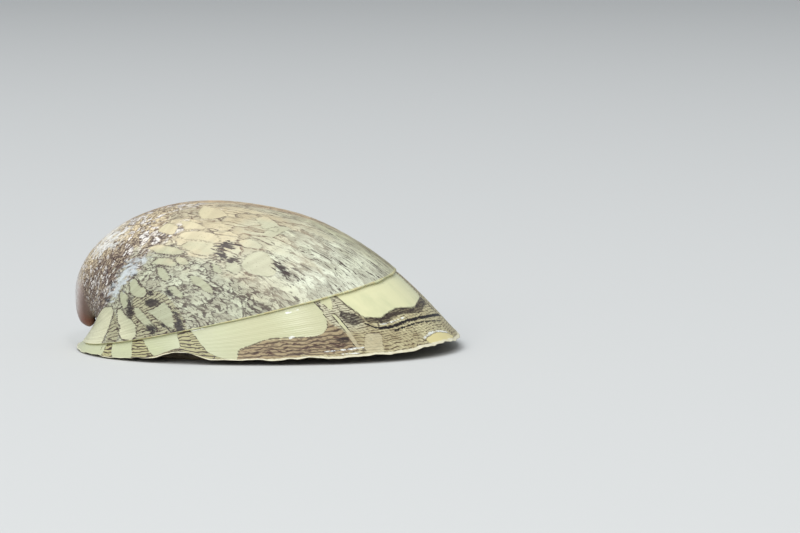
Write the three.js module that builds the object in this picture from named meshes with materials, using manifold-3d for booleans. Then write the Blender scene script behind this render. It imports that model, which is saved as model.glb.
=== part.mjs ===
// Freshwater limpet nerite snail at life size, clamped down as it grazes on flat stone.
// Millimetres, +X towards the head, +Y to the animal's left, +Z up.
// The origin is on the floor, under the middle of the shell, on the flat sole of the foot.
import * as THREE from "three";
import { mergeVertices } from "three/addons/utils/BufferGeometryUtils.js";
import Module from "manifold-3d";

const wasm = await Module();
wasm.setup();

// Driving dimensions of the shell
const SHELL_HALF_LENGTH = 15;
const SHELL_HALF_WIDTH = 10.8;
const SHELL_TOP = 11.3;
const RIM_FRONT_HEIGHT = 0.62;
const RIM_REAR_HEIGHT = 0.06;
const OVAL_POWER = 2.25;
const WALL_FRONT = 0.7;
const WALL_SIDE = 0.58;
const WALL_REAR = 1.0;
const RIM_THICKNESS_SHARE = 0.62;
const LEDGE_DROP = 0.18;
const GAP = 0.3;

// The shell as thirteen growth rings, from the first tiny whorl to the rim of today.
// Each ring is an oval between a front point and a rear point of the profile. The early rear
// points creep forward, so that the rings turn about them like pages and none crosses another.
// A row holds front x, front z, rear x, rear z, half width and the shift to the animal's left.
const GROWTH_RINGS = [
  [-13.5, 2.08, -13.44, 2.2, 0.12, -1.0],
  [-13.68, 1.84, -13.47, 2.25, 0.34, -1.0],
  [-14.05, 1.72, -13.49, 2.29, 0.58, -0.98],
  [-14.7, 2.25, -13.5, 2.32, 0.86, -0.92],
  [-15.0, 3.65, -13.49, 2.35, 1.3, -0.82],
  [-14.8, 5.75, -13.46, 2.37, 2.0, -0.66],
  [-13.45, 8.0, -13.42, 2.38, 3.1, -0.45],
  [-10.7, 10.05, -13.4, 2.31, 4.6, -0.25],
  [-6.6, SHELL_TOP, -13.5, 2.06, 6.15, -0.1],
  [-1.6, 11.22, -13.8, 1.58, 7.55, 0],
  [4.2, 9.72, -14.1, 1.1, 8.8, 0],
  [10.0, 6.02, -14.46, 0.6, 9.9, 0],
  [SHELL_HALF_LENGTH, RIM_FRONT_HEIGHT, -SHELL_HALF_LENGTH, RIM_REAR_HEIGHT, SHELL_HALF_WIDTH, 0],
];
const LAST_RING = GROWTH_RINGS.length - 1;
const APEX_RING = 5;
const APEX_GAP_RINGS = 0.13;
const CAVITY_RING = 5.9;
const BREAK_RING = 11;

// The rim is raised where the snail has chipped or lifted its shell: a notch on the right flank,
// the front right edge, and a low arch at the left where a feeler comes out.
// Each lift is placed by the cosine of its angle round the rim and by its side, left being 1.
const RIM_LIFTS = [
  { cosine: -0.43, side: -1, reach: 0.12, lift: 0.62 },
  { cosine: 0.9, side: -1, reach: 0.13, lift: 0.26 },
  { cosine: 0.8, side: 1, reach: 0.15, lift: 0.72 },
];

// Driving dimensions of the flesh
const FOOT_FRONT = 9.2;
const FOOT_REAR = -11.7;
const FOOT_HALF_WIDTH = 8.1;
const FOOT_HEIGHT = 1.9;
const HUMP_FLOOR = 2.2;
const HUMP_FRONT = 6.6;
const HUMP_FRONT_FLOOR = 4.4;
const MANTLE_THICKNESS = 0.58;
const MANTLE_CLEARANCE = 0.06;
const MANTLE_CUT_TURN = 0.62;
const HEAD_REAR = 6.9;
const HEAD_FRONT = 12.2;
const MOUTH = [11.0, 0, 0.6];
const MOUTH_TILT = 0.35;
const LIP_RADIUS = 0.7;
const LIP_THICKNESS = 0.26;
const LIP_STRETCH = [0.8, 1.15, 1];
const MOUTH_SLIT = [0.17, 0.6, 0.5];
const EYE_RADIUS = 0.33;
const EYE_FORWARD = 8.5;
const EYE_LEVEL = 3.36;
const STALK_END = 3.85;
const STALK_ROOT_RADIUS = 0.34;
const STALK_TIP_RADIUS = 0.3;
const TENTACLE_ROOT_RADIUS = 0.42;
const TENTACLE_TIP_RADIUS = 0.22;

// A length well beyond the snail, for the blocks that cut
const BEYOND = 20;

const frontLine = new THREE.SplineCurve(GROWTH_RINGS.map((r) => new THREE.Vector2(r[0], r[1])));
const rearLine = new THREE.SplineCurve(GROWTH_RINGS.map((r) => new THREE.Vector2(r[2], r[3])));
const widthLine = new THREE.SplineCurve(GROWTH_RINGS.map((r) => new THREE.Vector2(r[4], r[5])));

// A point of an oval as wide and long as 1, slightly squarer than an ellipse
function oval(angle) {
  const c = Math.cos(angle);
  const s = Math.sin(angle);
  const size = (Math.abs(c) ** OVAL_POWER + Math.abs(s) ** OVAL_POWER) ** (-1 / OVAL_POWER);
  return { c: c * size, s: s * size };
}

function rimLift(ring, c, s) {
  const nearRim = THREE.MathUtils.smoothstep(ring, BREAK_RING, LAST_RING);
  let lift = 0;
  for (const place of RIM_LIFTS) {
    const distance = (c - place.cosine) / place.reach;
    lift += s * place.side > 0 ? place.lift * Math.exp(-distance * distance) : 0;
  }
  return nearRim * lift;
}

// A point of the shell. The inset draws the ring in from its outer face, within its own plane,
// and the shrink draws it towards its middle, which closes a cap.
function shellPoint({ ring, inset = 0, shrink = 0 }, angle) {
  const t = THREE.MathUtils.clamp(ring / LAST_RING, 0, 1);
  const front = frontLine.getPoint(t);
  const rear = rearLine.getPoint(t);
  const width = widthLine.getPoint(t);
  const along = rear.clone().sub(front).normalize();
  front.addScaledVector(along, inset * WALL_FRONT);
  rear.addScaledVector(along, -inset * WALL_REAR);
  const half = width.x - inset * WALL_SIDE;
  const { c, s } = oval(angle);
  const reach = (1 - shrink) * c;
  const x = (front.x + rear.x) / 2 + ((front.x - rear.x) / 2) * reach;
  const z = (front.y + rear.y) / 2 + ((front.y - rear.y) / 2) * reach;
  const y = width.y + half * s * (1 - shrink);
  return new THREE.Vector3(x, y, z + rimLift(ring, c, s) * (1 - shrink));
}

// Part of a growth ring that a gap of the given size takes up at this angle
function gapInRings(ring, angle, gap) {
  const before = shellPoint({ ring: ring - 0.5 }, angle);
  const after = shellPoint({ ring: ring + 0.5 }, angle);
  return Math.min(0.5, gap / before.distanceTo(after));
}

// Turns a geometry's faces outwards and shares its vertices
function facingOut(geometry) {
  geometry.deleteAttribute("normal");
  geometry.deleteAttribute("uv");
  const merged = mergeVertices(geometry, 1e-3);
  const index = merged.index.array;
  const corner = (k) => new THREE.Vector3().fromBufferAttribute(merged.attributes.position, index[k]);
  let volume = 0;
  for (let k = 0; k < index.length; k += 3) {
    volume += corner(k).dot(corner(k + 1).cross(corner(k + 2)));
  }
  if (volume < 0) {
    for (let k = 0; k < index.length; k += 3) {
      [index[k], index[k + 1]] = [index[k + 1], index[k]];
    }
  }
  return merged;
}

// A closed skin over rings of points. The first and the last ring are single points.
function loft(columns, rings, place) {
  const geometry = new THREE.SphereGeometry(1, columns, rings.length - 1);
  const position = geometry.attributes.position;
  rings.forEach((ring, row) => {
    for (let column = 0; column <= columns; column += 1) {
      const angle = (2 * Math.PI * (column % columns)) / columns;
      const point = place(ring, angle);
      position.setXYZ(row * (columns + 1) + column, point.x, point.y, point.z);
    }
  });
  return facingOut(geometry);
}

// A closed band: the rings run round its section and end where they began
function bandLoft(columns, rings, place) {
  const geometry = new THREE.TorusGeometry(1, 0.4, rings.length, columns);
  const position = geometry.attributes.position;
  for (let row = 0; row <= rings.length; row += 1) {
    for (let column = 0; column <= columns; column += 1) {
      const angle = (2 * Math.PI * (column % columns)) / columns;
      const point = place(rings[row % rings.length], angle);
      position.setXYZ(row * (columns + 1) + column, point.x, point.y, point.z);
    }
  }
  return facingOut(geometry);
}

// Rows spread evenly between two values
function steps(from, to, count) {
  return Array.from({ length: count + 1 }, (_, k) => from + ((to - from) * k) / count);
}

function toSolid(geometry) {
  const merged = facingOut(geometry.clone());
  return new wasm.Manifold(
    new wasm.Mesh({
      numProp: 3,
      vertProperties: new Float32Array(merged.attributes.position.array),
      triVerts: new Uint32Array(merged.index.array),
    }),
  );
}

function toGeometry(solid) {
  const largest = solid.decompose().sort((a, b) => b.volume() - a.volume())[0];
  const mesh = largest.getMesh();
  const geometry = new THREE.BufferGeometry();
  geometry.setAttribute("position", new THREE.BufferAttribute(mesh.vertProperties, 3));
  geometry.setIndex(new THREE.BufferAttribute(mesh.triVerts, 1));
  return geometry;
}

// A block between two corners, used to cut
function block(low, high) {
  const size = high.map((value, axis) => value - low[axis]);
  const geometry = new THREE.BoxGeometry(...size);
  geometry.translate(...high.map((value, axis) => (value + low[axis]) / 2));
  return toSolid(geometry);
}

// Shell: worn apex, old body whorl and the new growth of the lip, each cut off along a growth ring
function apexGeometry() {
  const rings = [
    { ring: 0, shrink: 1 },
    ...steps(0, APEX_RING, 12).map((ring) => ({ ring })),
    { ring: APEX_RING, shrink: 0.5 },
    { ring: APEX_RING, shrink: 1 },
  ];
  return loft(28, rings, shellPoint);
}

function bodyWhorlGeometry() {
  const start = APEX_RING + APEX_GAP_RINGS;
  const outer = [...steps(start, 8, 8), ...steps(8, BREAK_RING, 11).slice(1)];
  const rings = [
    { ring: start, shrink: 1 },
    { ring: start, shrink: 0.5 },
    ...outer.map((ring) => ({ ring })),
    ...steps(BREAK_RING, CAVITY_RING, 8).map((ring) => ({ ring, inset: 1 })),
    { ring: CAVITY_RING, inset: 1, shrink: 0.5 },
    { ring: CAVITY_RING, inset: 1, shrink: 1 },
  ];
  return loft(48, rings, shellPoint);
}

function lipGeometry() {
  const outer = steps(0, 1, 5).map((share) => ({ share }));
  const inner = steps(1, 0, 4).map((share) => ({ share, inside: true }));
  return bandLoft(56, [...outer, ...inner], ({ share, inside }, angle) => {
    const first = BREAK_RING + gapInRings(BREAK_RING + 0.5, angle, GAP);
    const ring = first + (LAST_RING - first) * share;
    const ledge = (LEDGE_DROP * (1 - share) ** 2) / WALL_FRONT;
    const wall = 1 - (1 - RIM_THICKNESS_SHARE) * share;
    return shellPoint({ ring, inset: inside ? wall : ledge }, angle);
  });
}

// Flesh: the visceral hump fills the shell, the foot lies under it, the head reaches forward
function humpGeometry() {
  const clear = 1 + GAP / WALL_SIDE;
  const first = CAVITY_RING + 0.3;
  const rings = [
    { ring: first, inset: clear, shrink: 1 },
    { ring: first, inset: clear, shrink: 0.5 },
    ...steps(first, LAST_RING - 0.35, 11).map((ring) => ({ ring, inset: clear })),
    { ring: LAST_RING - 0.35, inset: clear, shrink: 1 },
  ];
  const whole = toSolid(loft(36, rings, shellPoint));
  const under = block([-BEYOND, -BEYOND, -BEYOND], [BEYOND, BEYOND, HUMP_FLOOR]);
  const front = block([HUMP_FRONT, -BEYOND, -BEYOND], [BEYOND, BEYOND, HUMP_FRONT_FLOOR]);
  return toGeometry(whole.subtract(under).subtract(front));
}

function footGeometry() {
  const middle = (FOOT_FRONT + FOOT_REAR) / 2;
  const half = (FOOT_FRONT - FOOT_REAR) / 2;
  // Each level is a share of the full outline and a share of the height
  const levels = [
    { out: 0, up: 0 },
    { out: 0.6, up: 0 },
    { out: 0.965, up: 0 },
    { out: 0.995, up: 0.1 },
    { out: 1, up: 0.28 },
    { out: 0.985, up: 0.5 },
    { out: 0.95, up: 0.76 },
    { out: 0.9, up: 0.95 },
    { out: 0.8, up: 1 },
    { out: 0, up: 1 },
  ];
  return loft(40, levels, ({ out, up }, angle) => {
    const { c, s } = oval(angle);
    const x = middle + half * out * c;
    // The front of the foot is a thinner flap that passes under the head
    const thin = 0.5 * THREE.MathUtils.smoothstep(x, HEAD_REAR - 0.6, FOOT_FRONT);
    return new THREE.Vector3(x, FOOT_HALF_WIDTH * out * s, FOOT_HEIGHT * up * (1 - thin));
  });
}

// Head: a broad flat snout on a short neck, with its mouth underneath
const headProfile = new THREE.CatmullRomCurve3(
  [
    [HEAD_REAR, 3.2, 0.9],
    [8.2, 3.1, 0.9],
    [9.3, 2.55, 0.95],
    [10.3, 1.75, 1.1],
    [11.2, 1.15, 0.85],
    [HEAD_FRONT - 0.25, 0.85, 0.5],
  ].map((p) => new THREE.Vector3(...p)),
);
const headWidth = new THREE.SplineCurve(
  [2.7, 2.9, 3.3, 3.6, 3.4, 2.4].map((half, k) => new THREE.Vector2(half, k)),
);

function headGeometry() {
  const rows = [
    { along: 0, size: 0 },
    { along: 0, size: 0.6 },
    { along: 0, size: 0.94 },
    ...steps(0.04, 1, 12).map((along) => ({ along, size: 1 })),
    { along: 1, size: 0.72, ahead: 0.17 },
    { along: 1, size: 0, ahead: 0.25 },
  ];
  const skin = loft(28, rows, ({ along, size, ahead = 0 }, angle) => {
    const { c, s } = oval(angle);
    const middle = headProfile.getPoint(along);
    const half = headWidth.getPoint(along).x;
    return new THREE.Vector3(middle.x + ahead, half * size * c, middle.y + middle.z * size * s);
  });
  const lips = new THREE.TorusGeometry(LIP_RADIUS, LIP_THICKNESS, 8, 18);
  lips.scale(...LIP_STRETCH);
  const slit = new THREE.SphereGeometry(1, 12, 8);
  slit.scale(...MOUTH_SLIT);
  for (const piece of [lips, slit]) {
    piece.rotateY(MOUTH_TILT);
    piece.translate(...MOUTH);
  }
  return toGeometry(toSolid(skin).add(toSolid(lips)).subtract(toSolid(slit)));
}

// A tapered limb along a curve, round in section and closed at both ends
function limbGeometry(points, rootRadius, tipRadius, columns, count) {
  const curve = new THREE.CatmullRomCurve3(points.map((p) => new THREE.Vector3(...p)));
  const up = new THREE.Vector3(0, 0, 1);
  const rows = [
    { along: 0, size: 0 },
    { along: 0, size: 0.8 },
    ...steps(0.03, 0.96, count).map((along) => ({ along, size: 1 })),
    { along: 0.99, size: 0.7 },
    { along: 1, size: 0 },
  ];
  return loft(columns, rows, ({ along, size }, angle) => {
    const ahead = curve.getTangent(along);
    const side = ahead.clone().cross(up).normalize();
    const over = side.clone().cross(ahead);
    const radius = size * (rootRadius + (tipRadius - rootRadius) * along);
    return curve
      .getPoint(along)
      .addScaledVector(side, radius * Math.cos(angle))
      .addScaledVector(over, radius * Math.sin(angle));
  });
}

// Mantle: the soft skirt that hangs inside the rim, in four lengths parted by thin cuts
function mantleSolid() {
  const clear = 1 + (GAP + MANTLE_CLEARANCE) / WALL_SIDE;
  const outerInset = (ring) => clear - 0.1 * (ring - BREAK_RING);
  const face = MANTLE_THICKNESS / WALL_SIDE;
  const from = BREAK_RING - 0.2;
  const to = LAST_RING - 0.15;
  const outer = steps(from, to, 4).map((ring) => ({ ring, inset: outerInset(ring) }));
  const inner = steps(to, from, 4).map((ring) => ({ ring, inset: outerInset(ring) + face }));
  const whole = toSolid(bandLoft(48, [...outer, ...inner], shellPoint));
  const hump = block([-BEYOND, -BEYOND, HUMP_FLOOR - GAP], [HUMP_FRONT + GAP, BEYOND, BEYOND]);
  const top = block([-BEYOND, -BEYOND, HUMP_FRONT_FLOOR - GAP], [BEYOND, BEYOND, BEYOND]);
  return whole.subtract(hump).subtract(top);
}

const MANTLE_TURNS = {
  mantle_front: 0,
  mantle_left: Math.PI / 2,
  mantle_rear: Math.PI,
  mantle_right: -Math.PI / 2,
};

function mantleSector(whole, turn) {
  const narrow = Math.abs(Math.cos(turn)) > 0.5;
  const half = narrow ? MANTLE_CUT_TURN : Math.PI / 2 - MANTLE_CUT_TURN;
  const far = 2 * BEYOND;
  const wedge = new THREE.Shape();
  wedge.moveTo(0, 0);
  wedge.lineTo(far * Math.cos(half), -far * Math.sin(half));
  wedge.lineTo(far * Math.cos(half), far * Math.sin(half));
  const geometry = new THREE.ExtrudeGeometry(wedge, { depth: far, bevelEnabled: false });
  geometry.translate(GAP / 2 / Math.sin(half), 0, -BEYOND);
  geometry.rotateZ(turn);
  return toGeometry(whole.intersect(toSolid(geometry)));
}

// Finishes: horny shell, worn apex, moist flesh and dark eyes
function finish(color, roughness) {
  return new THREE.MeshStandardMaterial({ color, roughness, metalness: 0 });
}

const oldShell = finish(0xb9b295, 0.45);
const wornApex = finish(0x86675f, 0.5);
const newShell = finish(0xd8d4a6, 0.4);
const flesh = finish(0x5d5248, 0.55);
const darkEye = finish(0x101010, 0.2);

const snail = new THREE.Group();
function add(name, geometry, material) {
  const mesh = new THREE.Mesh(geometry, material);
  mesh.name = name;
  snail.add(mesh);
}

add("shell_apex", apexGeometry(), wornApex);
add("shell_body", bodyWhorlGeometry(), oldShell);
add("shell_lip", lipGeometry(), newShell);
add("visceral_hump", humpGeometry(), flesh);
add("foot", footGeometry(), flesh);
add("head", headGeometry(), flesh);

const mantle = mantleSolid();
for (const [name, turn] of Object.entries(MANTLE_TURNS)) {
  add(name, mantleSector(mantle, turn), flesh);
}

// Feelers: the left one reaches out from under the shell, the right one lies folded back below it
const FEELERS = {
  left: [
    [9.9, 3.95, 1.5],
    [10.8, 5.0, 1.0],
    [12.0, 6.4, 0.56],
    [12.8, 7.4, 0.47],
    [13.7, 8.5, 0.4],
  ],
  right: [
    [9.9, -3.95, 1.5],
    [10.15, -4.7, 1.1],
    [9.8, -5.4, 0.88],
    [9.1, -5.9, 0.78],
    [8.1, -6.3, 0.7],
  ],
};
for (const [side, points] of Object.entries(FEELERS)) {
  const sign = Math.sign(points[0][1]);
  const stalk = [
    [8.2, 3.32 * sign, 3.0],
    [8.3, 3.58 * sign, 3.15],
    [8.4, STALK_END * sign, 3.25],
  ];
  const limb = limbGeometry(points, TENTACLE_ROOT_RADIUS, TENTACLE_TIP_RADIUS, 10, 12);
  add("tentacle_" + side, limb, flesh);
  const eyestalk = limbGeometry(stalk, STALK_ROOT_RADIUS, STALK_TIP_RADIUS, 10, 3);
  add("eyestalk_" + side, eyestalk, flesh);
  const eye = facingOut(new THREE.SphereGeometry(EYE_RADIUS, 12, 8));
  eye.translate(EYE_FORWARD, (STALK_END + GAP + EYE_RADIUS * 0.9) * sign, EYE_LEVEL);
  add("eye_" + side, eye, darkEye);
}

export default snail;
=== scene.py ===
import math
import random

import bmesh
import bpy
import numpy as np
from mathutils import Matrix, Vector


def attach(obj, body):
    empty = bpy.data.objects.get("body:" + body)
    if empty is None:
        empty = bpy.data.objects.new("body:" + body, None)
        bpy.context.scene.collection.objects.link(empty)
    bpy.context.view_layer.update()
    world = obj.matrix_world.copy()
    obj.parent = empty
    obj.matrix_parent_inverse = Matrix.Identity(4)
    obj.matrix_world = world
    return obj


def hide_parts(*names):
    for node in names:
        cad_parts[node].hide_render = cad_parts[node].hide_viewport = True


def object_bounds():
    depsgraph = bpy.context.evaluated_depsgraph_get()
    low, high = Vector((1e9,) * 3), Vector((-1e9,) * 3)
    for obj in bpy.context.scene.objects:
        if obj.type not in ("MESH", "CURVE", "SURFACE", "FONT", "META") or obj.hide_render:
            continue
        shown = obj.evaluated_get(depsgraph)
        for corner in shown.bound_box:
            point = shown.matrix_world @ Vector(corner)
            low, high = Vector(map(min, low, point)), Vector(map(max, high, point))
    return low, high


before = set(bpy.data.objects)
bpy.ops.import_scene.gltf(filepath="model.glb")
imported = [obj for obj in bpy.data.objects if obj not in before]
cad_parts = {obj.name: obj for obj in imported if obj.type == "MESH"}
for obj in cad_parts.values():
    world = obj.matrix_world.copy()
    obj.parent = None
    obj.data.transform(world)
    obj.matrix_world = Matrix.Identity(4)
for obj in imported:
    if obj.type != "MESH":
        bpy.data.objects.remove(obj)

cad_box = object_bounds()

# The place where the snail is shown, which is no part of it: a plain pale floor, and a long lens
# that looks at the snail's right side from a little above, as near as the photograph was taken.
# The lens frames a width of 62.5 mm at the snail's distance.
MM = 0.001
VIEW_CENTRE = Vector((10.27, 0.0, 6.3)) * MM
VIEW_DISTANCE = 270.0 * MM
VIEW_ELEVATION = math.radians(6.5)
VIEW_WIDTH = 62.5 * MM
SENSOR_WIDTH_MM = 36.0
FLOOR_REACH = 6.0


def show(name, data):
    """Puts a mesh, lamp or camera in the scene as an object of that name."""
    shown = bpy.data.objects.new(name, data)
    bpy.context.scene.collection.objects.link(shown)
    return shown


camera_data = bpy.data.cameras.new("camera")
camera_data.sensor_fit = "HORIZONTAL"
camera_data.sensor_width = SENSOR_WIDTH_MM
camera_data.lens = VIEW_DISTANCE * SENSOR_WIDTH_MM / VIEW_WIDTH
camera_data.clip_start = 5 * MM
camera_data.clip_end = 20.0
camera = show("camera", camera_data)
camera.location = VIEW_CENTRE + VIEW_DISTANCE * Vector(
    (0, -math.cos(VIEW_ELEVATION), math.sin(VIEW_ELEVATION))
)
camera.rotation_euler = (math.pi / 2 - VIEW_ELEVATION, 0, 0)
bpy.context.scene.camera = camera

floor_mesh = bpy.data.meshes.new("floor")
corners = [(-1, -1), (1, -1), (1, 1), (-1, 1)]
floor_mesh.from_pydata([(x * FLOOR_REACH, y * FLOOR_REACH, 0) for x, y in corners], [], [(0, 1, 2, 3)])
floor = show("floor", floor_mesh)
floor_paint = bpy.data.materials.new("floor_paint")
floor_paint.use_nodes = True
floor_shader = floor_paint.node_tree.nodes["Principled BSDF"]
floor_shader.inputs["Base Color"].default_value = (0.55, 0.55, 0.54, 1)
floor_shader.inputs["Roughness"].default_value = 0.85
floor_mesh.materials.append(floor_paint)


def soft_light(name, place, size, power, colour):
    """A square lamp that looks at the snail."""
    lamp_data = bpy.data.lights.new(name, "AREA")
    lamp_data.size = size
    lamp_data.energy = power
    lamp_data.color = colour
    lamp = show(name, lamp_data)
    lamp.location = place
    lamp.rotation_euler = (VIEW_CENTRE - lamp.location).to_track_quat("-Z", "Y").to_euler()


soft_light("sky", Vector((-0.25, -0.2, 0.95)), 0.9, 9.0, (0.95, 0.98, 1.0))
soft_light("window", Vector((-0.45, -0.85, 0.5)), 0.5, 3.7, (1.0, 0.98, 0.95))
soft_light("glint", Vector((0.1, -0.45, 0.42)), 0.08, 0.6, (1.0, 1.0, 1.0))
world = bpy.data.worlds.new("studio")
world.use_nodes = True
world.node_tree.nodes["Background"].inputs["Color"].default_value = (0.8, 0.85, 0.9, 1)
world.node_tree.nodes["Background"].inputs["Strength"].default_value = 0.5
bpy.context.scene.world = world
bpy.context.scene.view_settings.view_transform = "Standard"

# The old shell: the worn apex and the broad body whorl, one thick plate of lime under a thin
# horny skin. It grew as a row of oval rings that turn about a hinge point under the apex.
# It ends in a broken ledge, where growth stopped for a season.
GROWTH_RINGS = np.array([
    # front x, front z, rear x, rear z, half width, shift to the left, all in millimetres
    [-13.5, 2.08, -13.44, 2.2, 0.12, -1.0],
    [-13.68, 1.84, -13.47, 2.25, 0.34, -1.0],
    [-14.05, 1.72, -13.49, 2.29, 0.58, -0.98],
    [-14.7, 2.25, -13.5, 2.32, 0.86, -0.92],
    [-15.0, 3.65, -13.49, 2.35, 1.3, -0.82],
    [-14.8, 5.75, -13.46, 2.37, 2.0, -0.66],
    [-13.45, 8.0, -13.42, 2.38, 3.1, -0.45],
    [-10.7, 10.05, -13.4, 2.31, 4.6, -0.25],
    [-6.6, 11.3, -13.5, 2.06, 6.15, -0.1],
    [-1.6, 11.22, -13.8, 1.58, 7.55, 0.0],
    [4.2, 9.72, -14.1, 1.1, 8.8, 0.0],
    [10.0, 6.02, -14.46, 0.6, 9.9, 0.0],
    [15.0, 0.62, -15.0, 0.06, 10.8, 0.0],
])
LAST_RING = len(GROWTH_RINGS) - 1
BREAK_RING = 11
CAVITY_RING = 5.9
OVAL_POWER = 2.25
WALL_FRONT, WALL_REAR, WALL_SIDE = 0.7, 1.0, 0.58
RELIEF_WALL = 0.6
RIM_LIFTS = [
    # cosine of the angle round the rim, side, reach, lift in millimetres
    (-0.43, -1, 0.12, 0.62),
    (0.9, -1, 0.13, 0.26),
    (0.8, 1, 0.15, 0.72),
]


def through(a, b, c, d, part):
    """A smooth curve from b to c, with its neighbours a and d."""
    return (
        b
        + (c - a) / 2 * part
        + (2 * a - 5 * b + 4 * c - d) / 2 * part**2
        + (3 * b - a - 3 * c + d) / 2 * part**3
    )


def between_rings(ring):
    """The six measures of a ring at any stage of growth."""
    place = np.clip(ring, 0, LAST_RING)
    row = np.minimum(place.astype(int), LAST_RING - 1)
    ends = np.vstack([GROWTH_RINGS[:1], GROWTH_RINGS, GROWTH_RINGS[-1:]])
    return through(*(ends[row + step] for step in range(4)), (place - row)[..., None])


def oval(angle):
    c, s = np.cos(angle), np.sin(angle)
    size = (np.abs(c) ** OVAL_POWER + np.abs(s) ** OVAL_POWER) ** (-1 / OVAL_POWER)
    return c * size, s * size


def shell_points(ring, angle, inset=0.0):
    """Points of the shell in millimetres. The inset of 1 is the inner face of the wall."""
    ring, angle, inset = np.broadcast_arrays(np.asarray(ring, float), angle, inset)
    fx, fz, bx, bz, half, shift = np.moveaxis(between_rings(ring), -1, 0)
    length = np.hypot(fx - bx, fz - bz)
    ux, uz = (bx - fx) / length, (bz - fz) / length
    fx, fz = fx + ux * inset * WALL_FRONT, fz + uz * inset * WALL_FRONT
    bx, bz = bx - ux * inset * WALL_REAR, bz - uz * inset * WALL_REAR
    c, s = oval(angle)
    lift = 0.0
    for cosine, side, reach, height in RIM_LIFTS:
        lift = lift + np.where(s * side > 0, height * np.exp(-(((c - cosine) / reach) ** 2)), 0)
    share = np.clip(ring - BREAK_RING, 0, 1)
    lift = lift * share * share * (3 - 2 * share)
    x = (fx + bx) / 2 + (fx - bx) / 2 * c
    z = (fz + bz) / 2 + (fz - bz) / 2 * c + lift
    return np.stack([x, shift + (half - inset * WALL_SIDE) * s, z], -1)


def full_turn(count, start=-math.pi):
    """Evenly spaced angles once round."""
    return np.linspace(start, start + 2 * math.pi, count, endpoint=False)


# A chart of the shell: how many millimetres a ring is broad and a degree is long at each place,
# and how far growth has run along the flank, measured in shell radii
FIRST_RING = 0.02
CHART_TURN = 720
CHART_RINGS = np.linspace(FIRST_RING, LAST_RING, 500)
chart = shell_points(CHART_RINGS[:, None], np.linspace(-math.pi, math.pi, CHART_TURN + 1))
degree_chart = np.linalg.norm(np.gradient(chart, axis=1), axis=2) * CHART_TURN / 360
spread_chart = np.linalg.norm(np.gradient(chart, CHART_RINGS, axis=0), axis=2)
right_flank = CHART_TURN // 4
flank_reach = np.maximum(degree_chart[:, right_flank] * 180 / math.pi, 0.5)
flank_run = np.cumsum(spread_chart[:, right_flank] / flank_reach) * (CHART_RINGS[1] - CHART_RINGS[0])


def read_chart(values, ring, angle):
    """The chart's value at any ring and angle."""
    row = np.interp(ring, CHART_RINGS, np.arange(len(CHART_RINGS)))
    row = np.clip(row, 0, len(CHART_RINGS) - 1.001)
    column = (angle + math.pi) % (2 * math.pi) / (2 * math.pi) * CHART_TURN
    column = np.clip(column, 0, CHART_TURN - 0.001)
    i, j = row.astype(int), column.astype(int)
    u, v = row - i, column - j
    low = values[i, j] * (1 - v) + values[i, j + 1] * v
    high = values[i + 1, j] * (1 - v) + values[i + 1, j + 1] * v
    return low * (1 - u) + high * u


def off_front(angle):
    """Degrees away from the middle of the front, on either side."""
    return np.abs(np.degrees((angle + math.pi) % (2 * math.pi) - math.pi))


def rounded(outline, cut=0.14):
    """Cuts the corners of a closed outline a little."""
    points = np.array(outline, float)
    following = np.roll(points, -1, axis=0)
    both = np.stack([points * (1 - cut) + following * cut, points * cut + following * (1 - cut)], 1)
    return both.reshape(-1, 2)


MARK_REACH = 3.0
NEAR_RINGS, NEAR_DEGREES = 0.9, 14
TINY = 1e-12


def inside_distance(outline, ring, angle, spread, per_degree):
    """Millimetres from the edge of an outline of (ring, degrees), above zero inside it."""
    middle = outline[:, 1].mean()
    offset = (180 - np.degrees(angle) - middle) % 360 - 180 + middle
    near = (
        (offset > outline[:, 1].min() - NEAR_DEGREES)
        & (offset < outline[:, 1].max() + NEAR_DEGREES)
        & (ring > outline[:, 0].min() - NEAR_RINGS)
        & (ring < outline[:, 0].max() + NEAR_RINGS)
    )
    px, py = (offset * per_degree)[near], (ring * spread)[near]
    wide, tall = per_degree[near], spread[near]
    nearest = np.full(px.shape, np.inf)
    within = np.zeros(px.shape, bool)
    for (r0, a0), (r1, a1) in zip(outline, np.roll(outline, -1, axis=0)):
        ax, ay = a0 * wide - px, r0 * tall - py
        bx, by = a1 * wide - px, r1 * tall - py
        dx, dy = bx - ax, by - ay
        along = np.clip(-(ax * dx + ay * dy) / (dx * dx + dy * dy + TINY), 0, 1)
        nearest = np.minimum(nearest, np.hypot(ax + along * dx, ay + along * dy))
        level = np.where(np.abs(dy) < TINY, TINY, dy)
        within ^= ((ay > 0) != (by > 0)) & (ax - ay * dx / level > 0)
    distance = np.full(ring.shape, -MARK_REACH)
    distance[near] = np.where(within, nearest, -nearest)
    return distance


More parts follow.
